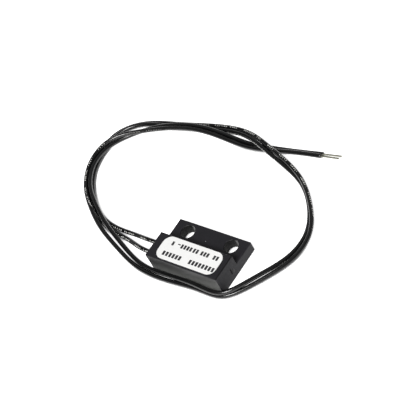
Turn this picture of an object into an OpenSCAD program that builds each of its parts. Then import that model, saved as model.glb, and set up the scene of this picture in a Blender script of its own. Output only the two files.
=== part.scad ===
// Flange-mount magnetic proximity sensor: a reed switch potted in a moulded
// housing, with a pair of insulated lead wires. Millimetres. The housing lies
// on its mounting face, head to the front (-Y), wires leaving at -X.

/* [Housing] */
// Length of the housing, from the wire end to the closed end
body_l = 28.6; // [27:0.1:34]
// Depth of the tall head, front to back
head_w = 9.5; // [9.3:0.1:12]
// Height of the head above the mounting face
head_h = 7.8; // [7.4:0.1:10]
// Depth of the low flange behind the head
flange_w = 8.5; // [7.6:0.1:12]
// Thickness of the flange
flange_h = 3.8; // [2:0.1:5]
// Radius on the outer edges
edge_r = 0.3; // [0.1:0.05:0.4]
// Fillet in the corner between head and flange
step_r = 0.4; // [0.2:0.1:0.8]

/* [Mounting holes] */
// Diameter of the two holes through the flange
hole_d = 4.8; // [3.2:0.1:5]
// Distance between the hole centres
hole_pitch = 17.5; // [14:0.1:20]
// Distance from the hole centres to the back edge of the flange
hole_inset = 3.55; // [3.2:0.05:4.2]
// Width of the bevel round each hole mouth
hole_rim = 0.2; // [0.1:0.05:0.4]

/* [Pocket] */
// Wall in front of the pocket
front_wall = 1.9; // [1.4:0.1:2]
// Wall behind the pocket
back_wall = 1.0; // [0.7:0.1:1.1]
// Floor under the pocket
floor_wall = 1.7; // [1.2:0.1:1.9]
// Roof over the pocket
roof_wall = 1.5; // [0.8:0.1:1.8]
// Wall at the closed end
end_wall = 1.6; // [1:0.1:2]
// Radius of the pocket's corners
pocket_r = 0.6; // [0.3:0.1:0.8]

/* [Moulding mark] */
// Width of the gate scar on the closed end
gate_w = 0.4; // [0.3:0.05:0.6]
// Height of the gate scar
gate_h = 2.2; // [1.5:0.1:3]
// Depth of the gate scar
gate_depth = 0.25; // [0.1:0.05:0.4]
// Distance from the gate scar's foot to the mounting face
gate_foot = 2.6; // [1:0.1:4]
// Distance from the gate scar to the back of the head
gate_inset = 3.15; // [1:0.05:6]

/* [Potting] */
// Depth of the potting surface inside the pocket mouth
potting_recess = 0.4; // [0.35:0.05:1]
// Height to which the potting creeps up each wire
creep_h = 0.3; // [0.1:0.05:0.35]

/* [Label] */
// Length of the label
label_l = 23.4; // [20:0.1:25.6]
// Width of the label
label_w = 8.5; // [6:0.1:8.6]
// Radius of the label's corners
label_r = 2.8; // [1:0.1:2.9]
// Thickness of the label film
label_t = 0.1; // [0.05:0.01:0.2]
// Bare strip between the label and the back of the head
label_back = 0.35; // [0.3:0.05:0.8]
// Shift of the label towards the closed end
label_shift = 0.5; // [0:0.1:0.6]

/* [Reed switch] */
// Length of the glass capsule
glass_l = 14; // [13:0.1:14.5]
// Outer diameter of the glass capsule
glass_d = 2.2; // [2:0.05:2.3]
// Radius on the capsule's melted ends
glass_end_r = 0.9; // [0.6:0.05:0.95]
// Wall of the glass tube
glass_wall = 0.35; // [0.25:0.05:0.4]
// Radius on the ends of the gas space inside
chamber_r = 0.45; // [0.3:0.05:0.6]
// Length of the solid glass seal at each end
seal_l = 2; // [1.5:0.1:2.2]
// Diameter of the nickel-iron leads
reed_d = 0.5; // [0.4:0.02:0.56]
// Length of each lead that shows inside the capsule
stub_l = 0.4; // [0.2:0.05:0.6]
// Distance from the capsule to the solder joint on the near lead
near_run = 1.4; // [1.2:0.1:1.6]
// Distance from the capsule to the middle of the joint on the far lead
far_run = 2.7; // [2.5:0.1:3]
// Length of each lead past the middle of its solder joint
lead_tip = 0.9; // [0.8:0.05:0.95]
// Thickness of the flattened blades
blade_t = 0.18; // [0.12:0.01:0.2]
// Width of the flattened blades
blade_w = 0.9; // [0.6:0.05:1]
// Radius on the corners of each blade's tip
blade_tip_r = 0.2; // [0.1:0.05:0.3]
// Overlap of the two blades at the contact
blade_overlap = 0.8; // [0.5:0.1:1.2]
// Open gap between the blades at the contact
contact_gap = 0.1; // [0.1:0.01:0.14]
// Clearance between each blade's round root and its lead
root_gap = 0.02; // [0.01:0.01:0.05]

/* [Lead wires] */
// Outer diameter of the wire insulation
wire_d = 1.5; // [1.3:0.02:1.5]
// Diameter of one copper strand, seven to a wire
strand_d = 0.2; // [0.16:0.01:0.22]
// Spacing of the two wires where they leave the housing
lead_pitch = 3.9; // [3.7:0.05:4]
// Insulated length of the back wire inside the potting
back_run = 3; // [2.5:0.1:3.2]
// Bared length of the back wire, soldered along the near lead
bare_l = 2.6; // [2.5:0.1:2.8]
// Straight bared length of each wire before its joint or bend
bare_stub = 0.5; // [0.3:0.05:0.6]
// Bend radius of the front wire's bare conductor
bare_bend_r = 1; // [0.8:0.1:1.2]
// Length of the front wire's conductor past the middle of the far lead
core_overrun = 0.4; // [0.3:0.05:0.5]
// Bared and tinned length at the free ends
strip_l = 6.5; // [4:0.1:8]

/* [Solder] */
// Diameter of each solder joint
solder_d = 1.5; // [1.4:0.05:1.6]
// Length of the solder joint on the near lead
solder_l = 2; // [1.6:0.1:2.2]
// Space between the conductor and the lead in a joint
joint_gap = 0.02; // [0.01:0.01:0.04]

/* [Hidden] */
$fn = 48;

// Over-length of a cutting solid past the face that it cuts
cut = 1;
// Sides of the free wires' tubes
tube_sides = 8;
// Straight run of the wires before they begin to fall
straight_run = 6.6;

body_w = head_w + flange_w;
head_y = -body_w / 2 + head_w / 2;
step_y = -body_w / 2 + head_w;
hole_y = body_w / 2 - hole_inset;

pocket_w = head_w - front_wall - back_wall;
pocket_h = head_h - floor_wall - roof_wall;
pocket_y = -body_w / 2 + front_wall + pocket_w / 2;
pocket_z = floor_wall + pocket_h / 2;
pocket_end = body_l / 2 - end_wall;
potting_x = -body_l / 2 + potting_recess;

// The wires lie level in the middle of the pocket
front_lead_y = pocket_y - lead_pitch / 2;
back_lead_y = pocket_y + lead_pitch / 2;
lead_z = pocket_z;
core_d = 3 * strand_d;
// The tin draws the strands together, so that they lie a little into each other
strand_pitch = 0.96 * strand_d;

// The reed switch lies in line with the back wire, its leads under the bared
// conductors. Its place along the housing follows from the near solder joint,
// and the front wire is bared where it turns across to the far lead.
reed_y = back_lead_y;
reed_z = lead_z - core_d / 2 - joint_gap - reed_d / 2;
joint_z = (lead_z + reed_z) / 2;
back_strip_x = potting_x + back_run;
solder_near_x = back_strip_x + bare_stub + solder_l / 2;
reed_x = solder_near_x + solder_l / 2 + near_run + glass_l / 2;
crossing_x = reed_x + glass_l / 2 + far_run;
front_strip_x = crossing_x - bare_bend_r - bare_stub;

// Inside the capsule
glass_r = glass_d / 2;
glass_bore_r = glass_r - glass_wall;
chamber_l = glass_l - 2 * seal_l;
stub_end = chamber_l / 2 - stub_l;
root_offset = stub_end - root_gap - blade_t / 2;
blade_reach = root_offset + blade_overlap / 2;
blade_offset = (contact_gap + blade_t) / 2;

// Route of the pair on its way round the floor: x, y and height of the middle
// of the pair, the spacing of the two wires, and how far the pair is rolled
// over, in degrees, with the outer wire up when positive. The first loop runs
// clockwise from the housing, goes round its closed end and along its front,
// and the second lies on the first before the ends part from it.
route = [
    [potting_x, pocket_y, lead_z, lead_pitch, 0],
    [potting_x - straight_run, pocket_y, lead_z, lead_pitch, 0],
    [-28.5, -1.6, 1.4, 2.4, 0],
    [-37.6, -1.2, 0.8, 1.55, 0],
    [-47.0, 1.6, 0.8, 1.55, 0],
    [-54.3, 7.9, 0.8, 1.55, 0],
    [-60.3, 15.4, 0.8, 1.55, 0],
    [-62.3, 24.2, 0.8, 1.55, 0],
    [-62.1, 34.2, 1.15, 1.55, -30],
    [-53.8, 40.9, 1.4, 1.55, -50],
    [-42.5, 42.8, 0.9, 1.55, 0],
    [-32.5, 45.4, 0.8, 1.55, 0],
    [-22.0, 47.7, 0.9, 1.55, 0],
    [-11.6, 46.9, 2.6, 1.55, 0],
    [-2.3, 43.1, 3.5, 1.55, 10],
    [6.4, 40.3, 2.7, 1.55, 35],
    [16.4, 36.3, 1.7, 1.55, 75],
    [24.2, 28.2, 1.6, 1.55, 65],
    [29.5, 19.5, 1.3, 1.9, 25],
    [28.8, 9.7, 0.95, 2.0, 5],
    [23.7, 1.4, 1.15, 1.6, -20],
    [18.9, -6.5, 1.6, 1.6, -75],
    [14.3, -11.4, 1.6, 1.6, -90],
    [4.5, -10.1, 1.6, 1.6, -80],
    [-8.0, -11.1, 1.25, 1.6, -30],
    [-19.6, -10.6, 0.85, 1.55, 0],
    [-30.3, -6.3, 1.9, 1.95, 0],
    [-39.9, -2.3, 3.3, 2.3, 0],
    [-48.5, 3.3, 2.6, 2.1, 0],
    [-56.8, 9.5, 2.4, 1.55, 0],
    [-62.1, 19.0, 2.5, 1.55, 0],
    [-60.8, 28.8, 2.8, 1.65, 45],
    [-53.5, 35.5, 2.3, 1.65, 130],
    [-43.9, 40.2, 3.2, 1.6, 170],
    [-33.1, 43.8, 2.9, 1.55, 180],
    [-22.0, 44.0, 1.9, 1.55, 180],
    [-11.5, 43.2, 0.8, 1.55, 180],
    [-2.0, 44.5, 1.05, 1.55, 160],
    [7.5, 46.1, 1.3, 1.55, 135],
    [16.3, 47.5, 1.25, 1.55, 150]
];
last = len(route) - 1;

// Where the tubes have their rings, counted in rows of the route: closer
// together round the housing's corner and where the pair rolls over
close_rows = [21, 22, 24, 30, 31, 32];
rings = [for (i = [0 : last]) each len(search(i, close_rows)) > 0 ? [i, i + 0.5] : [i]];

// One row past each end of the route carries that end straight on
function row(i) =
    i < 0 ? 2 * route[0] - route[1] :
    i > last ? 2 * route[last] - route[last - 1] :
    route[i];

// The wires follow the smooth cubic curve that the rows control
function cubic(i, s) = (
    (1 - s) ^ 3 * row(i - 1)
    + (3 * s ^ 3 - 6 * s ^ 2 + 4) * row(i)
    + (1 + 3 * s + 3 * s ^ 2 - 3 * s ^ 3) * row(i + 1)
    + s ^ 3 * row(i + 2)
) / 6;
function slope(i, s) = (
    -(1 - s) ^ 2 * row(i - 1)
    + (3 * s ^ 2 - 4 * s) * row(i)
    + (1 + 2 * s - 3 * s ^ 2) * row(i + 1)
    + s ^ 2 * row(i + 2)
) / 2;
function pair_at(u) = cubic(floor(u), u - floor(u));
function place(r) = [r[0], r[1], r[2]];
function unit(v) = v / norm(v);

// Directions at a place on the route: along it, level across it, and upwards
function along(u) = unit(place(slope(floor(u), u - floor(u))));
function across(u) = unit([-along(u)[1], along(u)[0], 0]);
function upwards(u) = cross(along(u), across(u));

// Centre of one wire: which is 1 for the front wire and -1 for the back wire
function wire_at(u, which) =
    let (p = pair_at(u))
    place(p) + which * p[3] / 2 * (cos(p[4]) * across(u) + sin(p[4]) * upwards(u));

// One ring of a tube round a wire's centre
function ring(u, which) = [
    for (k = [0 : tube_sides - 1])
        let (a = 360 * k / tube_sides)
        wire_at(u, which) + wire_d / 2 * (cos(a) * across(u) + sin(a) * upwards(u))
];

// Rectangle with round corners, centred
module soft_rect(w, h, r) {
    square([w - 2 * r, h], center = true);
    square([w, h - 2 * r], center = true);
    for (x = [-1, 1], y = [-1, 1])
        translate([x * (w / 2 - r), y * (h / 2 - r)])
            circle(r);
}

// Block on the floor with every edge rounded
module soft_block(l, w, h, r) {
    intersection() {
        translate([0, 0, -cut])
            linear_extrude(h + 2 * cut)
                soft_rect(l, w, r);
        translate([0, 0, h / 2])
            rotate([90, 0, 90])
                translate([0, 0, -l / 2 - cut])
                    linear_extrude(l + 2 * cut)
                        soft_rect(w, h, r);
        translate([0, 0, h / 2])
            rotate([90, 0, 0])
                translate([0, 0, -w / 2 - cut])
                    linear_extrude(w + 2 * cut)
                        soft_rect(l, h, r);
    }
}

// Rod along X, from one x to another
module rod_x(x0, x1, y, z, d) {
    translate([x0, y, z])
        rotate([0, 90, 0])
            cylinder(h = x1 - x0, d = d);
}

// Hole through the flange with a bevelled mouth on each side
module mounting_hole(x) {
    translate([x, hole_y, 0]) {
        translate([0, 0, -cut])
            cylinder(h = flange_h + 2 * cut, d = hole_d);
        translate([0, 0, flange_h - hole_rim])
            cylinder(h = hole_rim + cut, d1 = hole_d, d2 = hole_d + 2 * (hole_rim + cut));
        translate([0, 0, -cut])
            cylinder(h = hole_rim + cut, d1 = hole_d + 2 * (hole_rim + cut), d2 = hole_d);
    }
}

// Pocket for the reed switch, from a given x to its closed end
module pocket(x0) {
    translate([x0, pocket_y, pocket_z])
        rotate([90, 0, 90])
            linear_extrude(pocket_end - x0)
                soft_rect(pocket_w, pocket_h, pocket_r);
}

// Fillet in the corner between the head's back and the flange's top
module step_fillet() {
    translate([-body_l / 2 + edge_r, step_y, flange_h])
        rotate([90, 0, 90])
            linear_extrude(body_l - 2 * edge_r)
                difference() {
                    translate([-step_r, -step_r])
                        square(2 * step_r);
                    translate([step_r, step_r])
                        circle(step_r);
                }
}

module housing() {
    color([0.17, 0.17, 0.18])
    difference() {
        union() {
            translate([0, head_y, 0])
                soft_block(body_l, head_w, head_h, edge_r);
            soft_block(body_l, body_w, flange_h, edge_r);
            step_fillet();
        }
        mounting_hole(-hole_pitch / 2);
        mounting_hole(hole_pitch / 2);
        pocket(-body_l / 2 - cut);
        translate([body_l / 2 - gate_depth, step_y - gate_inset - gate_w / 2, gate_foot])
            cube([gate_depth + cut, gate_w, gate_h]);
    }
}

module label() {
    color([0.95, 0.95, 0.95])
    translate([label_shift, step_y - label_back - label_w / 2, head_h])
        linear_extrude(label_t)
            soft_rect(label_l, label_w, label_r);
}

// Concave collar of potting that creeps up a wire, with the wire's place filled
module creep(y) {
    translate([potting_x, y, lead_z])
        rotate([0, -90, 0])
            rotate_extrude()
                difference() {
                    square([wire_d / 2 + creep_h, creep_h]);
                    translate([wire_d / 2 + creep_h, creep_h])
                        circle(creep_h);
                }
}

// Potting: the spaces of the wires start outside its surface, and those of the
// bare conductors start inside the insulation, so that they join up
module potting() {
    color([0.12, 0.12, 0.12])
    difference() {
        union() {
            pocket(potting_x);
            creep(front_lead_y);
            creep(back_lead_y);
        }
        rod_x(potting_x - cut, front_strip_x, front_lead_y, lead_z, wire_d);
        rod_x(potting_x - cut, back_strip_x, back_lead_y, lead_z, wire_d);
        front_conductor(front_strip_x - cut);
        back_conductor(back_strip_x - cut);
        solder_form_near();
        solder_form_far();
        glass_form();
        reed_lead_near();
        reed_lead_far();
    }
}

// Half section of the capsule's outside, from its axis outwards
module glass_outline() {
    intersection() {
        translate([0, -glass_l / 2])
            square([glass_r, glass_l]);
        soft_rect(glass_d, glass_l, glass_end_r);
    }
}

module glass_form() {
    translate([reed_x, reed_y, reed_z])
        rotate([0, 90, 0])
            rotate_extrude()
                glass_outline();
}

module reed_glass() {
    color([0.6, 0.8, 0.75, 0.5])
    translate([reed_x, reed_y, reed_z])
        rotate([0, 90, 0])
            rotate_extrude()
                difference() {
                    glass_outline();
                    square([reed_d, glass_l + cut], center = true);
                    soft_rect(2 * glass_bore_r, chamber_l, chamber_r);
                }
}

module reed_lead_near() {
    color([0.75, 0.73, 0.68])
    rod_x(solder_near_x - lead_tip, reed_x - stub_end, reed_y, reed_z, reed_d);
}

module reed_lead_far() {
    color([0.75, 0.73, 0.68])
    rod_x(reed_x + stub_end, crossing_x + lead_tip, reed_y, reed_z, reed_d);
}

// Flattened blade with a round root at the origin, reaching along +X
module blade_form() {
    intersection() {
        rotate([90, 0, 0])
            linear_extrude(blade_w, center = true) {
                circle(d = blade_t);
                translate([0, -blade_t / 2])
                    square([blade_reach, blade_t]);
            }
        translate([blade_reach / 2 - blade_w, 0, -blade_t])
            linear_extrude(2 * blade_t)
                soft_rect(blade_reach + 2 * blade_w, blade_w, blade_tip_r);
    }
}

module reed_blade_near() {
    color([0.8, 0.78, 0.72])
    translate([reed_x - root_offset, reed_y, reed_z + blade_offset])
        blade_form();
}

module reed_blade_far() {
    color([0.8, 0.78, 0.72])
    translate([reed_x + root_offset, reed_y, reed_z - blade_offset])
        rotate([0, 0, 180])
            blade_form();
}

module solder_form_near() {
    rod_x(solder_near_x - solder_l / 2, solder_near_x + solder_l / 2, reed_y, joint_z, solder_d);
}

module solder_form_far() {
    translate([crossing_x, reed_y, joint_z])
        sphere(d = solder_d);
}

module solder_near() {
    color([0.7, 0.7, 0.72])
    difference() {
        solder_form_near();
        reed_lead_near();
        back_core_inner();
    }
}

module solder_far() {
    color([0.7, 0.7, 0.72])
    difference() {
        solder_form_far();
        reed_lead_far();
        front_core_inner();
    }
}

module front_wire_inner() {
    color([0.06, 0.06, 0.06])
    rod_x(potting_x, front_strip_x, front_lead_y, lead_z, wire_d);
}

module back_wire_inner() {
    color([0.06, 0.06, 0.06])
    rod_x(potting_x, back_strip_x, back_lead_y, lead_z, wire_d);
}

// Conductor of the front wire from a given x, bent across the far lead
module front_conductor(x0) {
    bend_x = crossing_x - bare_bend_r;
    bend_y = front_lead_y + bare_bend_r;
    rod_x(x0, bend_x, front_lead_y, lead_z, core_d);
    translate([bend_x, bend_y, lead_z])
        rotate([0, 0, -90])
            rotate_extrude(angle = 90)
                translate([bare_bend_r, 0])
                    circle(d = core_d);
    translate([crossing_x, bend_y, lead_z])
        rotate([-90, 0, 0])
            cylinder(h = reed_y + core_overrun - bend_y, d = core_d);
}

// Conductor of the back wire from a given x to the end of its solder joint
module back_conductor(x0) {
    rod_x(x0, back_strip_x + bare_l, back_lead_y, lead_z, core_d);
}

module front_core_inner() {
    color([0.8, 0.78, 0.74])
    union()
        front_conductor(front_strip_x);
}

module back_core_inner() {
    color([0.8, 0.78, 0.74])
    back_conductor(back_strip_x);
}

// Free wire: one closed tube swept along its route
module free_wire(which) {
    n = tube_sides;
    end = len(rings) - 1;
    points = [for (u = rings) each ring(u, which)];
    walls = [
        for (i = [0 : end - 1], k = [0 : n - 1])
            let (a = i * n + k, b = i * n + (k + 1) % n)
            each [[a, b + n, b], [a, a + n, b + n]]
    ];
    caps = [[for (k = [0 : n - 1]) k], [for (k = [n - 1 : -1 : 0]) end * n + k]];
    polyhedron(points = points, faces = concat(walls, caps));
}

module front_wire() {
    color([0.06, 0.06, 0.06])
    free_wire(1);
}

module back_wire() {
    color([0.06, 0.06, 0.06])
    free_wire(-1);
}

// Seven tinned strands, fused by the tin, in line with the end of a wire
module tinned_end(which) {
    h = along(last);
    translate(wire_at(last, which))
        rotate([0, acos(h[2]), atan2(h[1], h[0])])
            linear_extrude(strip_l) {
                circle(d = strand_d);
                for (a = [0 : 60 : 300])
                    rotate(a)
                        translate([strand_pitch, 0])
                            circle(d = strand_d);
            }
}

module front_core_end() {
    color([0.75, 0.74, 0.7])
    tinned_end(1);
}

module back_core_end() {
    color([0.75, 0.74, 0.7])
    tinned_end(-1);
}

housing();
label();
potting();
reed_glass();
reed_lead_near();
reed_lead_far();
reed_blade_near();
reed_blade_far();
solder_near();
solder_far();
front_wire_inner();
back_wire_inner();
front_core_inner();
back_core_inner();
front_wire();
back_wire();
front_core_end();
back_core_end();
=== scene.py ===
"""Looks of a flange-mount magnetic proximity sensor, in metres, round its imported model.

X runs from the wires' end of the housing to its closed end, Y from the labelled head
to the flange with the two holes, and Z up from the mounting face.
"""

import math

import bpy
import numpy as np
from mathutils import Matrix, Vector


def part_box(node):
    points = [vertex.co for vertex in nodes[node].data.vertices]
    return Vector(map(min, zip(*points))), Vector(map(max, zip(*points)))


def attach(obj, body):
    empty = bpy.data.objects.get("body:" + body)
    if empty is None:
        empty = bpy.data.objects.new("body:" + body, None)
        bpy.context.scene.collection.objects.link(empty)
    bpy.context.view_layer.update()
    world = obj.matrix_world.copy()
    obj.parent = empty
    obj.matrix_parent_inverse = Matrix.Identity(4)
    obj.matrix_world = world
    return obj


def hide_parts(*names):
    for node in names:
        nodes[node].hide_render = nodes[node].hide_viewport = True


MM = 0.001

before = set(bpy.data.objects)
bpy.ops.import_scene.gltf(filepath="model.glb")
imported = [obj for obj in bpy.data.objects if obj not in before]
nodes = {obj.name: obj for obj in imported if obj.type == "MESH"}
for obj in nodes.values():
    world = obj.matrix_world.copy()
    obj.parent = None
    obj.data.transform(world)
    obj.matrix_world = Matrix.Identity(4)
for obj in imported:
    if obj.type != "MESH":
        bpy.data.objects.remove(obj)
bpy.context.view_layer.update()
HOUSING_LOW, HOUSING_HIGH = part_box("housing")
LABEL_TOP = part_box("label")[1].z

# Camera: it stands where the photograph was taken, worked out from the housing's
# corners and holes. Its place, the floor point that it looks at, its roll, its lens and
# the width of its film in millimetres, and the nearest that it sees
CAMERA_PLACE = Vector((0.28983, -0.17341, 0.36915))
CAMERA_AIM = Vector((-0.01517, 0.01942, 0.0))
CAMERA_ROLL = math.radians(-30.55)
CAMERA_LENS = 144.02
CAMERA_FILM = 36.0
CAMERA_NEAR = 10 * MM


def make_camera():
    """Camera whose level right and up directions are turned by the roll about the way
    that it looks."""
    ahead = (CAMERA_AIM - CAMERA_PLACE).normalized()
    level = ahead.cross(Vector((0, 0, 1))).normalized()
    above = level.cross(ahead)
    right = math.cos(CAMERA_ROLL) * level + math.sin(CAMERA_ROLL) * above
    up = right.cross(ahead)
    turned = Matrix((right, up, -ahead)).transposed().to_4x4()
    data = bpy.data.cameras.new("camera")
    data.lens = CAMERA_LENS
    data.sensor_width = CAMERA_FILM
    data.clip_start = CAMERA_NEAR
    camera = bpy.data.objects.new("camera", data)
    camera.matrix_world = Matrix.Translation(CAMERA_PLACE) @ turned
    bpy.context.scene.collection.objects.link(camera)
    bpy.context.scene.camera = camera


make_camera()

# Free wires: outer diameter, points round a wire, and step from loop to loop of them
WIRE_D = 1.5 * MM
WIRE_SIDES = 20
WIRE_STEP = 0.5 * MM
# Places at which a wire's line is measured, to find even steps along it
LINE_PLACES = 8000

# Route of the pair: x, y and height of the middle of the pair and the spacing of the
# two wires, in metres, and how far the pair is rolled over, in degrees
ROUTE = np.array([
    (-0.0139, -0.0038, 0.00400, 0.00390, 0),
    (-0.0205, -0.0038, 0.00400, 0.00390, 0),
    (-0.0285, -0.0016, 0.00140, 0.00240, 0),
    (-0.0376, -0.0012, 0.00080, 0.00155, 0),
    (-0.0470, 0.0016, 0.00080, 0.00155, 0),
    (-0.0543, 0.0079, 0.00080, 0.00155, 0),
    (-0.0603, 0.0154, 0.00080, 0.00155, 0),
    (-0.0623, 0.0242, 0.00080, 0.00155, 0),
    (-0.0621, 0.0342, 0.00115, 0.00155, -30),
    (-0.0538, 0.0409, 0.00140, 0.00155, -50),
    (-0.0425, 0.0428, 0.00090, 0.00155, 0),
    (-0.0325, 0.0454, 0.00080, 0.00155, 0),
    (-0.0220, 0.0477, 0.00090, 0.00155, 0),
    (-0.0116, 0.0469, 0.00260, 0.00155, 0),
    (-0.0023, 0.0431, 0.00350, 0.00155, 10),
    (0.0064, 0.0403, 0.00270, 0.00155, 35),
    (0.0164, 0.0363, 0.00170, 0.00155, 75),
    (0.0242, 0.0282, 0.00160, 0.00155, 65),
    (0.0295, 0.0195, 0.00130, 0.00190, 25),
    (0.0288, 0.0097, 0.00095, 0.00200, 5),
    (0.0237, 0.0014, 0.00115, 0.00160, -20),
    (0.0189, -0.0065, 0.00160, 0.00160, -75),
    (0.0143, -0.0114, 0.00160, 0.00160, -90),
    (0.0045, -0.0101, 0.00160, 0.00160, -80),
    (-0.0080, -0.0111, 0.00125, 0.00160, -30),
    (-0.0196, -0.0106, 0.00085, 0.00155, 0),
    (-0.0303, -0.0063, 0.00190, 0.00195, 0),
    (-0.0399, -0.0023, 0.00330, 0.00230, 0),
    (-0.0485, 0.0033, 0.00260, 0.00210, 0),
    (-0.0568, 0.0095, 0.00240, 0.00155, 0),
    (-0.0621, 0.0190, 0.00250, 0.00155, 0),
    (-0.0608, 0.0288, 0.00280, 0.00165, 45),
    (-0.0535, 0.0355, 0.00230, 0.00165, 130),
    (-0.0439, 0.0402, 0.00320, 0.00160, 170),
    (-0.0331, 0.0438, 0.00290, 0.00155, 180),
    (-0.0220, 0.0440, 0.00190, 0.00155, 180),
    (-0.0115, 0.0432, 0.00080, 0.00155, 180),
    (-0.0020, 0.0445, 0.00105, 0.00155, 160),
    (0.0075, 0.0461, 0.00130, 0.00155, 135),
    (0.0163, 0.0475, 0.00125, 0.00155, 150),
])
ROUTE_END = len(ROUTE) - 1.0

# Where the line of print lies round each wire as it twists: distance from the housing
# in metres, and the angle over the top from the loop's outer side, in degrees
FRONT_PRINT = np.array([
    (0.000, 50), (0.024, 60), (0.034, 110), (0.050, 235), (0.094, 300), (0.106, 470),
    (0.157, 435), (0.168, 400), (0.176, 365), (0.182, 310), (0.200, 250), (0.270, 230),
    (0.283, 105), (0.290, 90), (0.301, 105), (0.316, 130), (0.326, 145), (0.345, 230),
    (0.392, 250),
])
BACK_PRINT = np.array([
    (0.000, 45), (0.024, 50), (0.033, 105), (0.045, 235), (0.100, 235), (0.112, 175),
    (0.136, 160), (0.150, 250), (0.176, 280), (0.183, 355), (0.190, 355), (0.197, 280),
    (0.240, 250), (0.355, 255), (0.372, 180), (0.382, 175),
])


def unit(v):
    """Each row of v over its own length."""
    return v / np.linalg.norm(v, axis=-1, keepdims=True)


def pair_at(u):
    """Middle of the pair and its directions along, level across and upwards, at places
    u counted in rows: a cubic curve on which each place is a blend of four rows, s past
    the second of them, with shares (1-s)^3, 3s^3-6s^2+4, 1+3s+3s^2-3s^3 and s^3, each
    over 6. The directions come from the slopes of the shares."""
    first = 2 * ROUTE[0] - ROUTE[1]
    last = 2 * ROUTE[-1] - ROUTE[-2]
    rows = np.vstack([first, ROUTE, last, last])
    i = np.floor(u).astype(int)
    s = u - i
    near = rows[i[:, None] + np.arange(4)]
    shares = np.array([(1 - s) ** 3, 3 * s**3 - 6 * s**2 + 4,
                       1 + 3 * s + 3 * s**2 - 3 * s**3, s**3]) / 6
    slopes = np.array([-((1 - s) ** 2), 3 * s**2 - 4 * s,
                       1 + 2 * s - 3 * s**2, s**2]) / 2
    middle = np.einsum("kn,nkc->nc", shares, near)
    along = unit(np.einsum("kn,nkc->nc", slopes, near)[:, :3])
    across = unit(np.stack([-along[:, 1], along[:, 0], 0 * along[:, 0]], axis=1))
    return middle, along, across, np.cross(along, across)


def wire_at(u, side):
    """Centre and directions of one wire: half the spacing from the middle of the pair,
    turned from level by the roll. Side is 1 for the front wire and -1 for the back."""
    middle, along, across, upwards = pair_at(u)
    roll = np.radians(middle[:, 4:5])
    out = np.cos(roll) * across + np.sin(roll) * upwards
    return middle[:, :3] + side * middle[:, 3:4] / 2 * out, along, across, upwards


def wire_line(side):
    """One wire at even steps from the housing: distance run, centre and directions."""
    u = np.linspace(0, ROUTE_END, LINE_PLACES)
    centre = wire_at(u, side)[0]
    steps = np.linalg.norm(np.diff(centre, axis=0), axis=1)
    run = np.concatenate([[0], np.cumsum(steps)])
    even = np.linspace(0, run[-1], round(run[-1] / WIRE_STEP) + 1)
    return (even, *wire_at(np.interp(even, run, u), side))


def loops_round(centre, radius, across, upwards, sides):
    """Loops of points round a line: centre + radius (cos a across + sin a upwards), a
    going once round in even steps."""
    a = np.linspace(0, 2 * np.pi, sides, endpoint=False)[:, None]
    out = np.cos(a) * across[..., None, :] + np.sin(a) * upwards[..., None, :]
    return centre[..., None, :] + radius[..., None, None] * out


# Faces that meet at more than this angle keep a sharp edge
SHARP = math.radians(40)


def skin(name, loops, material, turn=None, run=None):
    """Closed piece over loops, an array of shells, loops, points and x, y, z: a quad
    joins each point to its neighbour in the loop and to the next loop, and a flat face
    closes each end. Run and turn give a UV map: distance along, and turns round from
    the print."""
    shells, count, n, _ = loops.shape
    first = np.arange(shells)[:, None, None] * count * n
    i = np.arange(count - 1)[None, :, None] * n
    k = np.arange(n)[None, None, :]
    beside = (k + 1) % n
    a, b = first + i + k, first + i + beside
    quads = np.stack([a, b, b + n, a + n], axis=-1).reshape(-1, 4)
    start = (first[:, :, 0] + np.arange(n)[::-1]).reshape(shells, n)
    end = (first[:, :, 0] + (count - 1) * n + np.arange(n)).reshape(shells, n)
    mesh = bpy.data.meshes.new(name)
    faces = [*quads.tolist(), *start.tolist(), *end.tolist()]
    mesh.from_pydata(loops.reshape(-1, 3).tolist(), [], faces)
    mesh.shade_smooth()
    mesh.set_sharp_from_angle(angle=SHARP)
    if run is not None:
        steps = np.arange(n + 1) / n
        u = np.broadcast_to(run[:, None], (count, n + 1))
        v = steps[None, :] - turn[:, None]
        place = np.stack([u, v], axis=-1)
        corners = [place[:-1, :-1], place[:-1, 1:], place[1:, 1:], place[1:, :-1]]
        sides = np.stack(corners, axis=2).reshape(-1, 2)
        # Both flat ends read a place half a turn away from the print
        ends = np.tile([run[-1], 0.5], (2 * n, 1))
        layer = mesh.uv_layers.new(name="along")
        layer.data.foreach_set("uv", np.vstack([sides, ends]).ravel())
    mesh.materials.append(material)
    made = bpy.data.objects.new(name, mesh)
    bpy.context.scene.collection.objects.link(made)
    return made


def srgb(code):
    """Linear colour of an sRGB hex value: c/12.92 up to 0.04045, then
    ((c + 0.055) / 1.055) to the power 2.4."""
    c = np.array([int(code[i:i + 2], 16) for i in (1, 3, 5)]) / 255
    linear = np.where(c <= 0.04045, c / 12.92, ((c + 0.055) / 1.055) ** 2.4)
    return (*linear.tolist(), 1.0)


def add(tree, kind, inputs=None, **settings):
    """Adds a node to a tree with its settings, fills its sockets with the values given
    for them, and links those that are given another node's output."""
    made = tree.nodes.new("ShaderNode" + kind)
    for name, value in settings.items():
        setattr(made, name, value)
    for name, value in (inputs or {}).items():
        if isinstance(value, bpy.types.NodeSocket):
            tree.links.new(value, made.inputs[name])
        else:
            made.inputs[name].default_value = value
    return made


def blank(name):
    """New material with an empty node tree."""
    made = bpy.data.materials.new(name)
    made.use_nodes = True
    made.node_tree.nodes.clear()
    return made


# A mix node has its sockets by number: share, first and second colour, result
MIX_SHARE, MIX_A, MIX_B, MIX_OUT = 0, 6, 7, 2

# Moulded housing: width of its spark-eroded grain, which is about 0.05 mm and would not
# show, so it is drawn at 0.25 mm, height of the grain, and width of the flow marks
GRAIN = 0.25 * MM
GRAIN_HEIGHT = 0.03 * MM
FLOW = 3 * MM
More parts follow.
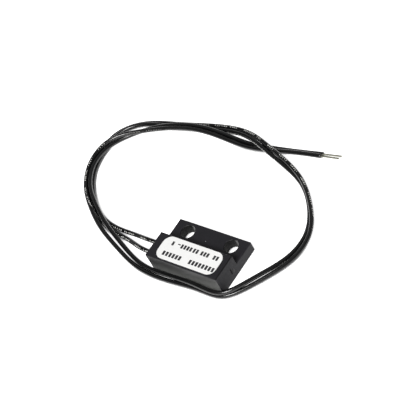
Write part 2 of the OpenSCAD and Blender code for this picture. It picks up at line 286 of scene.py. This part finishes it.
# Holes of the flange: distance from the middle along X, place along Y and radius, and
# how far the holes' painted shade reaches out over their bevels
HOLE_X = 8.75 * MM
HOLE_Y = 5.45 * MM
HOLE_R = 2.4 * MM
HOLE_RIM = 0.1 * MM
# Side of each hole on which a highlight is painted on the wall, and how far out that
# way the painted highlight starts, as a share of the radius
HIGHLIGHT_SIDE = (0.6, 0.8, 0.0)
HIGHLIGHT_FROM = 0.75
# The front wall's painted reflection: its depth, and how steeply the painted grey
# reflection of the floor fades up the wall at the wires' end and at the closed end, as
# the power of the share of its height
WALL_DEPTH = 0.05 * MM
WALL_REFLECTION_FADES = (2.6, 0.8)
# Painted shade line along the head's top edge at the closed end: its width and height
EDGE_SHADE_W = 0.35 * MM
EDGE_SHADE_H = 0.12 * MM
# Speck on the flange, pale rim of the gate scar, a pale spot beside the scar, and the
# torn pit of the scar, painted black as the shade in it: place, radius and colour
MARKS_AND_PIT_SHADE = (
    ((-0.0006, 0.0042, 0.0038), 0.16 * MM, "#8c8c8e"),
    ((0.0143, -0.0017, 0.0033), 0.5 * MM, "#3e3e40"),
    ((0.0143, -0.0017, 0.0026), 0.5 * MM, "#3e3e40"),
    # The torn pit: painted shade, black as the shade inside it
    ((0.0143, -0.0026, 0.0042), 0.28 * MM, "#020202"),
    ((0.0143, -0.0019, 0.0038), 0.36 * MM, "#020202"),
    ((0.0143, -0.0021, 0.0032), 0.36 * MM, "#020202"),
    ((0.0143, -0.0023, 0.0026), 0.36 * MM, "#020202"),
)


def hole_shade_and_highlight(tree, parts):
    """Share of a place that lies in a hole of the flange, and the colour there: a place
    is in a hole where the length of (|x| - hole x, y - hole y) is under its radius and
    rim. The wall is painted dark as shade, and a highlight is painted where that offset
    reaches far enough to the lit side."""
    side = add(tree, "Math", {0: parts["X"]}, operation="SIGN").outputs[0]
    x = add(tree, "Math", {0: parts["X"]}, operation="ABSOLUTE").outputs[0]
    x = add(tree, "Math", {0: x, 1: HOLE_X}, operation="SUBTRACT").outputs[0]
    x = add(tree, "Math", {0: x, 1: side}, operation="MULTIPLY").outputs[0]
    y = add(tree, "Math", {0: parts["Y"], 1: HOLE_Y}, operation="SUBTRACT").outputs[0]
    away = add(tree, "CombineXYZ", {"X": x, "Y": y}).outputs[0]
    far = add(tree, "VectorMath", {0: away}, operation="LENGTH").outputs["Value"]
    in_hole = add(tree, "Math", {0: far, 1: HOLE_R + HOLE_RIM}, operation="LESS_THAN")
    reach = add(tree, "VectorMath", {0: away, 1: HIGHLIGHT_SIDE}, operation="DOT_PRODUCT")
    highlit = add(tree, "MapRange", {
        "Value": reach.outputs["Value"], "From Min": HIGHLIGHT_FROM * HOLE_R,
        "From Max": HOLE_R}).outputs[0]
    # Painted shade darkens the hole's wall, and a painted highlight pales its lit side
    wall = add(tree, "Mix", {MIX_SHARE: highlit, MIX_A: srgb("#060606"),
                             MIX_B: srgb("#8c8c8c")}, data_type="RGBA")
    return in_hole.outputs[0], wall.outputs[MIX_OUT]


def front_wall_reflection(tree, parts):
    """Share of a place that lies on the front wall, and the colour there: a painted
    reflection of the floor, grey by the share (1 - z / height) to a power that falls
    from the wires' end to the closed end."""
    front_y = HOUSING_LOW.y + WALL_DEPTH
    on_wall = add(tree, "Math", {0: parts["Y"], 1: front_y}, operation="LESS_THAN")
    low = add(tree, "MapRange", {"Value": parts["Z"], "From Max": HOUSING_HIGH.z,
                                 "To Min": 1.0, "To Max": 0.0}).outputs[0]
    power = add(tree, "MapRange", {
        "Value": parts["X"], "From Min": -HOUSING_HIGH.x, "From Max": HOUSING_HIGH.x,
        "To Min": WALL_REFLECTION_FADES[0], "To Max": WALL_REFLECTION_FADES[1]}).outputs[0]
    reflected_grey = add(tree, "Math", {0: low, 1: power}, operation="POWER").outputs[0]
    # Painted reflection: the floor's grey mirrored in the wall, strongest at its foot
    wall = add(tree, "Mix", {MIX_SHARE: reflected_grey, MIX_A: srgb("#050505"),
                             MIX_B: srgb("#888987")}, data_type="RGBA")
    return on_wall.outputs[0], wall.outputs[MIX_OUT]


def shaded_top_edge(tree, parts):
    """Share of a place that lies on the head's top edge at the closed end, where its
    shade
    is painted: 1 within both its width of that end and its height of the top, and 0
    elsewhere."""
    x = add(tree, "Math", {0: parts["X"], 1: HOUSING_HIGH.x - EDGE_SHADE_W},
            operation="GREATER_THAN").outputs[0]
    z = add(tree, "Math", {0: parts["Z"], 1: HOUSING_HIGH.z - EDGE_SHADE_H},
            operation="GREATER_THAN").outputs[0]
    return add(tree, "Math", {0: x, 1: z}, operation="MULTIPLY").outputs[0]


def moulded_pbt():
    """Black glass-filled PBT, injection moulded in a spark-eroded mould: matt, with a
    fine pebbly grain and faint flow marks. The front wall came off a polished face of
    the mould, so it mirrors what stands before it, and a grey reflection of the floor is
    painted on it towards its foot. The holes came off turned pins; shade is painted dark
    in them, with a painted highlight on their lit side."""
    made = blank("moulded_pbt")
    tree = made.node_tree
    place = add(tree, "TexCoord").outputs["Object"]
    parts = add(tree, "SeparateXYZ", {"Vector": place}).outputs
    grain = add(tree, "TexNoise", {"Vector": place, "Scale": 1 / GRAIN, "Detail": 3.0})
    flow = add(tree, "TexNoise", {"Vector": place, "Scale": 1 / FLOW, "Detail": 3.0})
    flow = flow.outputs["Fac"]
    on_wall, wall_reflection_colour = front_wall_reflection(tree, parts)
    layers = [hole_shade_and_highlight(tree, parts), (on_wall, wall_reflection_colour),
              # Near-black painted shade along the head's top edge at the closed end
              (shaded_top_edge(tree, parts), srgb("#020202"))]
    for spot, radius, code in MARKS_AND_PIT_SHADE:
        far = add(tree, "VectorMath", {0: place, 1: spot}, operation="DISTANCE")
        inside = add(tree, "Math", {0: far.outputs["Value"], 1: radius},
                     operation="LESS_THAN")
        layers.append((inside.outputs[0], srgb(code)))
    colour = add(tree, "Mix", {MIX_SHARE: flow, MIX_A: srgb("#1c1b1f"),
                               MIX_B: srgb("#242327")}, data_type="RGBA")
    colour = colour.outputs[MIX_OUT]
    for share, upper in layers:
        colour = add(tree, "Mix", {MIX_SHARE: share, MIX_A: colour, MIX_B: upper},
                     data_type="RGBA").outputs[MIX_OUT]
    rough = add(tree, "MapRange", {"Value": on_wall, "To Min": 0.5, "To Max": 0.25})
    rough = add(tree, "Math", {0: flow, 1: 0.12, 2: rough.outputs[0]},
                operation="MULTIPLY_ADD")
    strength = add(tree, "MapRange", {"Value": on_wall, "To Min": 1.0, "To Max": 0.015})
    bump = add(tree, "Bump", {"Height": grain.outputs["Fac"], "Distance": GRAIN_HEIGHT,
                              "Strength": strength.outputs[0]})
    shader = add(tree, "BsdfPrincipled", {
        "Base Color": colour, "Roughness": rough.outputs[0],
        "IOR": 1.5, "Specular IOR Level": 0.28, "Normal": bump.outputs["Normal"]})
    add(tree, "OutputMaterial", {"Surface": shader.outputs[0]})
    return made


# Label: width and height of the film's ripples, and width of the patches in the ink
FILM_RIPPLE = 2.5 * MM
FILM_RISE = 0.02 * MM
INK_PATCH = 0.3 * MM


def polyester_label():
    """White polyester film with a satin coat: even and bright, with a soft gloss."""
    made = blank("polyester_label")
    tree = made.node_tree
    place = add(tree, "TexCoord").outputs["Object"]
    ripple = add(tree, "TexNoise", {"Vector": place, "Scale": 1 / FILM_RIPPLE,
                                    "Detail": 2.0}).outputs["Fac"]
    colour = add(tree, "Mix", {MIX_SHARE: ripple, MIX_A: srgb("#f4f4f2"),
                               MIX_B: srgb("#fafaf9")}, data_type="RGBA")
    rough = add(tree, "MapRange", {"Value": ripple, "To Min": 0.38, "To Max": 0.48})
    bump = add(tree, "Bump", {"Height": ripple, "Distance": FILM_RISE})
    shader = add(tree, "BsdfPrincipled", {
        "Base Color": colour.outputs[MIX_OUT], "Roughness": rough.outputs[0],
        "IOR": 1.5, "Specular IOR Level": 0.4, "Normal": bump.outputs["Normal"]})
    add(tree, "OutputMaterial", {"Surface": shader.outputs[0]})
    return made


def printing_ink():
    """Black thermal-transfer ink on the label: flat, a little patchy under a lens."""
    made = blank("printing_ink")
    tree = made.node_tree
    place = add(tree, "TexCoord").outputs["Object"]
    patches = add(tree, "TexNoise", {"Vector": place, "Scale": 1 / INK_PATCH,
                                     "Detail": 2.0}).outputs["Fac"]
    colour = add(tree, "Mix", {MIX_SHARE: patches, MIX_A: srgb("#1e1e20"),
                               MIX_B: srgb("#3a3a3c")}, data_type="RGBA")
    shader = add(tree, "BsdfPrincipled", {
        "Base Color": colour.outputs[MIX_OUT], "Roughness": 0.5, "IOR": 1.5})
    add(tree, "OutputMaterial", {"Surface": shader.outputs[0]})
    return made


# Poured epoxy: width and height of its ripples
POUR_RIPPLE = 1.8 * MM
POUR_RISE = 0.12 * MM


def poured_epoxy():
    """Black epoxy, poured and cured in the pocket: glossy, with a slow ripple from its
    shrinkage and a few dull patches."""
    made = blank("poured_epoxy")
    tree = made.node_tree
    place = add(tree, "TexCoord").outputs["Object"]
    ripple = add(tree, "TexNoise", {"Vector": place, "Scale": 1 / POUR_RIPPLE,
                                    "Detail": 2.0}).outputs["Fac"]
    rough = add(tree, "MapRange", {"Value": ripple, "To Min": 0.08, "To Max": 0.3})
    bump = add(tree, "Bump", {"Height": ripple, "Distance": POUR_RISE})
    colour = add(tree, "Mix", {MIX_SHARE: ripple, MIX_A: srgb("#0f0f10"),
                               MIX_B: srgb("#19191a")}, data_type="RGBA")
    shader = add(tree, "BsdfPrincipled", {
        "Base Color": colour.outputs[MIX_OUT], "Roughness": rough.outputs[0],
        "IOR": 1.55, "Normal": bump.outputs["Normal"]})
    add(tree, "OutputMaterial", {"Surface": shader.outputs[0]})
    return made


# Print on the wires: spacing and height of the dashes, the shortest and the longest as
# shares of the spacing, the same for the groups that they stand in, the size of the
# specks where the ink did not take, and the noise below which they lie
DASH_PITCH = 0.9 * MM
DASH_HEIGHT = 0.42 * MM
DASH_SHARES = (0.3, 0.7)
GROUP_PITCH = 6.5 * MM
GROUP_SHARES = (0.45, 0.95)
SPECK = 0.22 * MM
SPECK_CUT = 0.33
# Places round which the ink has rubbed off, and how far it is thin, and the share left
INK_RUBBED = (((-0.045, 0.038, 0.0), 28 * MM), ((0.023, 0.001, 0.001), 14 * MM))
INK_LEFT = 0.2
# Vinyl: width of the bloom's patches, and width and height of the dimples in its skin
BLOOM = 4 * MM
DIMPLE = 0.5 * MM
DIMPLE_DEPTH = 0.01 * MM


def dashes(tree, place):
    """Ink mask of the print: 1 on dashes of uneven length that stand in groups along
    the wire, within the print's height of the line and off the specks, 0 elsewhere, and
    thinned where the ink is rubbed. A place is on a dash, and in a group, where the
    part of a spacing that it has run is under the share of that dash or group."""
    uv = add(tree, "UVMap", uv_map="along").outputs[0]
    parts = add(tree, "SeparateXYZ", {"Vector": uv}).outputs
    specks = add(tree, "TexNoise", {"Vector": place, "Scale": 1 / SPECK}).outputs["Fac"]
    mask = add(tree, "Math", {0: specks, 1: SPECK_CUT},
               operation="GREATER_THAN").outputs[0]
    for pitch, shares in ((DASH_PITCH, DASH_SHARES), (GROUP_PITCH, GROUP_SHARES)):
        step = add(tree, "Math", {0: parts["X"], 1: pitch},
                   operation="DIVIDE").outputs[0]
        cell = add(tree, "Math", {0: step}, operation="FLOOR").outputs[0]
        part = add(tree, "Math", {0: step}, operation="FRACT").outputs[0]
        chance = add(tree, "TexWhiteNoise", {"W": cell}, noise_dimensions="1D")
        length = add(tree, "MapRange", {"Value": chance.outputs["Value"],
                                        "To Min": shares[0], "To Max": shares[1]})
        inked = add(tree, "Math", {0: part, 1: length.outputs[0]},
                    operation="LESS_THAN")
        mask = add(tree, "Math", {0: mask, 1: inked.outputs[0]},
                   operation="MULTIPLY").outputs[0]
    off = add(tree, "Math", {0: parts["Y"], 1: 0.5, 2: -0.5},
              operation="WRAP").outputs[0]
    off = add(tree, "Math", {0: off}, operation="ABSOLUTE").outputs[0]
    half = DASH_HEIGHT / (2 * math.pi * WIRE_D)
    line = add(tree, "Math", {0: off, 1: half}, operation="LESS_THAN").outputs[0]
    mask = add(tree, "Math", {0: mask, 1: line}, operation="MULTIPLY").outputs[0]
    for spot, radius in INK_RUBBED:
        away = add(tree, "VectorMath", {0: place, 1: spot}, operation="DISTANCE")
        left = add(tree, "MapRange", {
            "Value": away.outputs["Value"], "From Min": radius / 2, "From Max": radius,
            "To Min": INK_LEFT})
        mask = add(tree, "Math", {0: mask, 1: left.outputs[0]},
                   operation="MULTIPLY").outputs[0]
    return mask


def extruded_vinyl(printed):
    """Black vinyl insulation, extruded over the strands: smooth and glossy, with a
    faint bloom and a skin that dimples a little. Where it is printed, a line of plain
    pale dashes of ink runs along it."""
    made = blank("printed_vinyl" if printed else "extruded_vinyl")
    tree = made.node_tree
    place = add(tree, "TexCoord").outputs["Object"]
    bloom = add(tree, "TexNoise", {"Vector": place, "Scale": 1 / BLOOM,
                                   "Detail": 3.0}).outputs["Fac"]
    dimples = add(tree, "TexNoise", {"Vector": place, "Scale": 1 / DIMPLE})
    colour = add(tree, "Mix", {MIX_SHARE: bloom, MIX_A: srgb("#050506"),
                               MIX_B: srgb("#0c0c0d")}, data_type="RGBA")
    colour = colour.outputs[MIX_OUT]
    rough = add(tree, "MapRange", {"Value": bloom, "To Min": 0.2,
                                   "To Max": 0.28}).outputs[0]
    bump = add(tree, "Bump", {"Height": dimples.outputs["Fac"],
                              "Distance": DIMPLE_DEPTH})
    if printed:
        ink = dashes(tree, place)
        colour = add(tree, "Mix", {MIX_SHARE: ink, MIX_A: colour,
                                   MIX_B: srgb("#c8c8c4")}, data_type="RGBA")
        colour = colour.outputs[MIX_OUT]
        # Ink is duller than the vinyl
        rough = add(tree, "Math", {0: ink, 1: 0.2, 2: rough},
                    operation="MULTIPLY_ADD").outputs[0]
    shader = add(tree, "BsdfPrincipled", {
        "Base Color": colour, "Roughness": rough, "IOR": 1.54,
        "Normal": bump.outputs["Normal"]})
    add(tree, "OutputMaterial", {"Surface": shader.outputs[0]})
    return made


# How high the patches of a drawn or dipped metal stand, as a share of their width
METAL_RISE = 0.08


def drawn_metal(name, pale, dark, rough_low, rough_high, grain):
    """Wire or sheet metal, drawn or dipped: its colour and roughness wander between two
    values over patches of one grain size, and the same patches raise it a little."""
    made = blank(name)
    tree = made.node_tree
    place = add(tree, "TexCoord").outputs["Object"]
    share = add(tree, "TexNoise", {"Vector": place, "Scale": 1 / grain,
                                   "Detail": 3.0}).outputs["Fac"]
    colour = add(tree, "Mix", {MIX_SHARE: share, MIX_A: srgb(dark), MIX_B: srgb(pale)},
                 data_type="RGBA")
    rough = add(tree, "MapRange", {"Value": share, "To Min": rough_high,
                                   "To Max": rough_low})
    bump = add(tree, "Bump", {"Height": share, "Distance": METAL_RISE * grain})
    shader = add(tree, "BsdfPrincipled", {
        "Base Color": colour.outputs[MIX_OUT], "Metallic": 1.0,
        "Roughness": rough.outputs[0], "Normal": bump.outputs["Normal"]})
    add(tree, "OutputMaterial", {"Surface": shader.outputs[0]})
    return made


# Glass tube: width and height of its draw lines, and their width over their length
DRAW_LINE = 0.3 * MM
DRAW_RISE = 0.01 * MM
DRAW_STRETCH = 0.05


def drawn_glass():
    """Infrared-absorbing glass tube, flame-sealed: clear and greenish, with faint draw
    lines along it."""
    made = blank("drawn_glass")
    tree = made.node_tree
    place = add(tree, "TexCoord").outputs["Object"]
    drawn = add(tree, "Mapping", {"Vector": place, "Scale": (DRAW_STRETCH, 1.0, 1.0)})
    lines = add(tree, "TexNoise", {"Vector": drawn.outputs[0], "Scale": 1 / DRAW_LINE})
    lines = lines.outputs["Fac"]
    colour = add(tree, "Mix", {MIX_SHARE: lines, MIX_A: srgb("#b9dccd"),
                               MIX_B: srgb("#cbe8dc")}, data_type="RGBA")
    bump = add(tree, "Bump", {"Height": lines, "Distance": DRAW_RISE})
    shader = add(tree, "BsdfPrincipled", {
        "Base Color": colour.outputs[MIX_OUT], "Roughness": 0.03, "IOR": 1.52,
        "Transmission Weight": 1.0, "Normal": bump.outputs["Normal"]})
    add(tree, "OutputMaterial", {"Surface": shader.outputs[0]})
    return made


vinyl = extruded_vinyl(printed=False)
printed_vinyl = extruded_vinyl(printed=True)
# Copper dipped in tin: a dull silver-grey with a hint of green
tinned_copper = drawn_metal(
    "tinned_copper", "#c0bfb0", "#8a897a", 0.28, 0.45, 0.25 * MM)
# Nickel-iron, drawn and tin plated: satin and a little warm
nickel_iron = drawn_metal(
    "nickel_iron", "#c8c4bc", "#aaa69e", 0.25, 0.38, 0.2 * MM)
# Contact plating on pressed nickel-iron: brighter and smoother
contact_plating = drawn_metal(
    "contact_plating", "#d8d6d0", "#c2c0b8", 0.12, 0.2, 0.3 * MM)
# Tin solder, set from the melt: bright, with a frosted grain
tin_solder = drawn_metal(
    "tin_solder", "#d2d3d4", "#a8a9aa", 0.15, 0.35, 0.35 * MM)

FINISHES = {
    "housing": moulded_pbt(),
    "label": polyester_label(),
    "potting": poured_epoxy(),
    "reed_glass": drawn_glass(),
    "reed_lead_near": nickel_iron,
    "reed_lead_far": nickel_iron,
    "reed_blade_near": contact_plating,
    "reed_blade_far": contact_plating,
    "solder_near": tin_solder,
    "solder_far": tin_solder,
    "front_wire_inner": vinyl,
    "back_wire_inner": vinyl,
    "front_core_inner": tinned_copper,
    "back_core_inner": tinned_copper,
    "front_wire": vinyl,
    "back_wire": vinyl,
    "front_core_end": tinned_copper,
    "back_core_end": tinned_copper,
}
for name, finish in FINISHES.items():
    for place in nodes[name].material_slots:
        place.material = finish

# Cut end of the insulation, as steps from its plane along the wire and radii: a rounded
# rim, then a bore that stands a little clear of the strands
CUT_STEPS = np.array([-0.05, 0.0, 0.0, -0.6]) * MM
CUT_RADII = np.array([0.75, 0.71, 0.36, 0.34]) * MM


def free_wire(name, side, print_line):
    """Insulated wire: loops of one radius round its line, and at the cut end loops that
    go in over the rim and back down the bore. Gives the piece, its length, its line,
    and the centre and directions of its end."""
    run, centre, along, across, upwards = wire_line(side)
    count = len(CUT_STEPS)
    inwards = centre[-1] + CUT_STEPS[:, None] * along[-1]
    centres = np.vstack([centre[:-1], inwards])
    radii = np.concatenate([np.full(len(run) - 1, WIRE_D / 2), CUT_RADII])
    acrosses = np.vstack([across[:-1], np.tile(across[-1], (count, 1))])
    ups = np.vstack([upwards[:-1], np.tile(upwards[-1], (count, 1))])
    loops = loops_round(centres, radii, acrosses, ups, WIRE_SIDES)
    runs = np.concatenate([run[:-1], np.full(count, run[-1])])
    turn = np.interp(runs, print_line[:, 0], print_line[:, 1]) / 360
    made = skin(name, loops[None], printed_vinyl, turn, runs)
    return made, run[-1], centre, (centre[-1], along[-1], across[-1], upwards[-1])


# Bared ends: seven strands of a wire, one straight and six wound round it. Diameter of
# a strand, length of one turn of the winding, bared length, and length inside the
# insulation
STRAND_D = 0.2 * MM
STRAND_LAY = 11 * MM
STRAND_L = 6.5 * MM
STRAND_BURIED = 0.5 * MM
# Distance of the outer strands from the middle one, in diameters: the tin draws them in
STRAND_NEST = 0.96
# How far each wire's strands lead away from the other wire's, a share of their length
STRAND_SPLAY = 0.035
# Points round a strand, and loops along it
STRAND_SIDES = 10
STRAND_LOOPS = 40


def strands(name, end):
    """Seven strands from inside the insulation to their cut tips: the middle one runs
    straight, and leads away from the other wire by the splay times t, and each other
    lies 60 degrees k + 360 degrees t / lay round it, at t along."""
    start, along, across, upwards = end
    pair_end = pair_at(np.array([ROUTE_END]))[0][0, :3]
    along = unit(along + STRAND_SPLAY * unit(start - pair_end))
    t = np.linspace(-STRAND_BURIED, STRAND_L, STRAND_LOOPS)
    k = np.arange(6)
    a = (2 * np.pi * (k[:, None] / 6 + t[None, :] / STRAND_LAY))[..., None]
    out = STRAND_NEST * STRAND_D * (np.cos(a) * across + np.sin(a) * upwards)
    line = start + t[:, None] * along
    centres = np.concatenate([line[None], line + out])
    radii = np.full(centres.shape[:2], STRAND_D / 2)
    wide = np.broadcast_to(across, centres.shape)
    high = np.broadcast_to(upwards, centres.shape)
    loops = loops_round(centres, radii, wide, high, STRAND_SIDES)
    return skin(name, loops, tinned_copper)


for side, word, print_line in ((1, "front", FRONT_PRINT), (-1, "back", BACK_PRINT)):
    wire, length, line, end = free_wire(f"{word}_lead", side, print_line)
    bared = strands(f"{word}_strands", end)
    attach(wire, "sensor")
    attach(bared, "sensor")
    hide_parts(f"{word}_wire")
    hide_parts(f"{word}_core_end")

# Print on the label, as plain blocks in rows, in millimetres: place of the row along Y,
# spacing, width and height of its blocks, and where each group starts along X and how
# many blocks it has
BLOCK_ROWS = (
    (-2.1, 1.17, 0.82, 1.55, ((-7.8, 1), (-4.15, 4), (0.75, 2), (3.8, 3), (8.7, 2))),
    (-1.8, 1.0, 1.1, 0.35, ((-5.6, 1),)),
    (-6.2, 1.29, 0.88, 1.6, ((-8.8, 6), (1.8, 8))),
)
# Radius of a block's corners, in millimetres too, and points on each
BLOCK_R = 0.1
CORNER_POINTS = 5
# How far the ink stands above the film, and how far it goes into it
INK_T = 0.01 * MM


def label_blocks():
    """Blocks of ink on the label: each a flat slab whose outline is a rectangle with
    round corners, corner's centre + radius (cos a, sin a) over a quarter turn."""
    blocks = np.array([
        (x + width / 2 + i * pitch, y, width, height)
        for y, pitch, width, height, groups in BLOCK_ROWS
        for x, count in groups
        for i in range(count)
    ])
    corner = np.repeat([(1, 1), (-1, 1), (-1, -1), (1, -1)], CORNER_POINTS, axis=0)
    quarter = np.linspace(0, 90, CORNER_POINTS)
    a = np.radians(np.concatenate([quarter + turned for turned in (0, 90, 180, 270)]))
    half = blocks[:, None, 2:] / 2 - BLOCK_R
    outline = corner * half + BLOCK_R * np.stack([np.cos(a), np.sin(a)], axis=1)
    flat = (blocks[:, None, :2] + outline) * MM
    levels = np.array([LABEL_TOP - INK_T, LABEL_TOP + INK_T])
    loops = np.empty((len(blocks), 2, len(a), 3))
    loops[..., :2] = flat[:, None]
    loops[..., 2] = levels[None, :, None]
    made = skin("label_print", loops, printing_ink())
    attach(made, "sensor")


label_blocks()

# Floor: its side, how far it lies under the mounting face, and its glow to the rays
# that see it, where 1 is white
FLOOR_SIZE = 6.0
FLOOR_DROP = 0.02 * MM
FLOOR_GLOW = 0.9
# Shade of the floor between pieces: how far off they shade it, the open share of the
# sky at which it is dark and at which it is clear, and the rays that measure it
SLIT_REACH = 1.0 * MM
SLIT_OPEN = (0.4, 0.8)
SLIT_RAYS = 32
# Shade of the floor as the pieces mirror it: how far off, and the rays
MIRRORED_REACH = 3.0 * MM
MIRRORED_RAYS = 16


def make_floor():
    """Plain pale floor just under the mounting face. It glows to the rays that see it:
    from the camera or through glass, less in narrow gaps between pieces, and mirrored,
    less near any piece, so that it is white and keeps their shadow."""
    made = blank("floor")
    tree = made.node_tree
    rays = add(tree, "LightPath").outputs
    direct = add(tree, "Math", {
        0: rays["Is Camera Ray"], 1: rays["Is Transmission Ray"]}, operation="MAXIMUM")
    slits = add(tree, "AmbientOcclusion", {"Distance": SLIT_REACH}, samples=SLIT_RAYS)
    slits = add(tree, "MapRange", {"Value": slits.outputs["AO"],
                                   "From Min": SLIT_OPEN[0], "From Max": SLIT_OPEN[1]})
    near = add(tree, "AmbientOcclusion", {"Distance": MIRRORED_REACH},
               samples=MIRRORED_RAYS)
    direct = add(tree, "Math", {0: direct.outputs[0], 1: slits.outputs[0]},
                 operation="MULTIPLY")
    mirrored = add(tree, "Math", {0: rays["Is Glossy Ray"], 1: near.outputs["AO"]},
                   operation="MULTIPLY")
    seen = add(tree, "Math", {0: direct.outputs[0], 1: mirrored.outputs[0]},
               operation="MAXIMUM")
    glow = add(tree, "Math", {0: seen.outputs[0], 1: FLOOR_GLOW}, operation="MULTIPLY")
    shader = add(tree, "BsdfPrincipled", {
        "Base Color": srgb("#f2f2f2"), "Roughness": 0.9, "Specular IOR Level": 0.1,
        "Emission Color": (1, 1, 1, 1), "Emission Strength": glow.outputs[0]})
    add(tree, "OutputMaterial", {"Surface": shader.outputs[0]})
    half = FLOOR_SIZE / 2
    corners = [(-half, -half), (half, -half), (half, half), (-half, half)]
    mesh = bpy.data.meshes.new("floor")
    mesh.from_pydata([(x, y, -FLOOR_DROP) for x, y in corners], [], [(0, 1, 2, 3)])
    mesh.materials.append(made)
    floor = bpy.data.objects.new("floor", mesh)
    bpy.context.scene.collection.objects.link(floor)


# Studio: heights at which it starts and ends to darken, as the upward part of the
# direction that looks there, and its strength above that
SKY_DIMS = (0.12, 0.35)
SKY_TOP = 0.05


def make_world():
    """Studio round the object: white at the horizon, where the floor meets it, and dark
    above it."""
    world = bpy.data.worlds.new("studio")
    bpy.context.scene.world = world
    world.use_nodes = True
    tree = world.node_tree
    tree.nodes.clear()
    way = add(tree, "TexCoord").outputs["Generated"]
    height = add(tree, "SeparateXYZ", {"Vector": way}).outputs["Z"]
    dim = add(tree, "MapRange", {
        "Value": height, "From Min": SKY_DIMS[0], "From Max": SKY_DIMS[1],
        "To Min": 1.0, "To Max": SKY_TOP})
    shader = add(tree, "Background", {"Color": (1, 1, 1, 1),
                                      "Strength": dim.outputs[0]})
    add(tree, "OutputWorld", {"Surface": shader.outputs[0]})


# Softboxes, which face the mounting face's centre: place, side and watts
SOFTBOXES = {
    "front": ((0.2, -0.5, 0.7), 0.32, 8.2),
    "overhead": ((-0.15, 0.3, 0.85), 1.2, 1.4),
}


def make_softbox(name, place, size, watts):
    """Square soft light that stands at a place and faces the origin."""
    data = bpy.data.lights.new(name, "AREA")
    data.shape = "SQUARE"
    data.size = size
    data.energy = watts
    lamp = bpy.data.objects.new(name, data)
    facing = (-Vector(place)).to_track_quat("-Z", "Y")
    lamp.matrix_world = Matrix.Translation(place) @ facing.to_matrix().to_4x4()
    bpy.context.scene.collection.objects.link(lamp)


make_floor()
make_world()
for name, (place, size, watts) in SOFTBOXES.items():
    make_softbox(name, place, size, watts)

bpy.context.scene.view_settings.view_transform = "Standard"
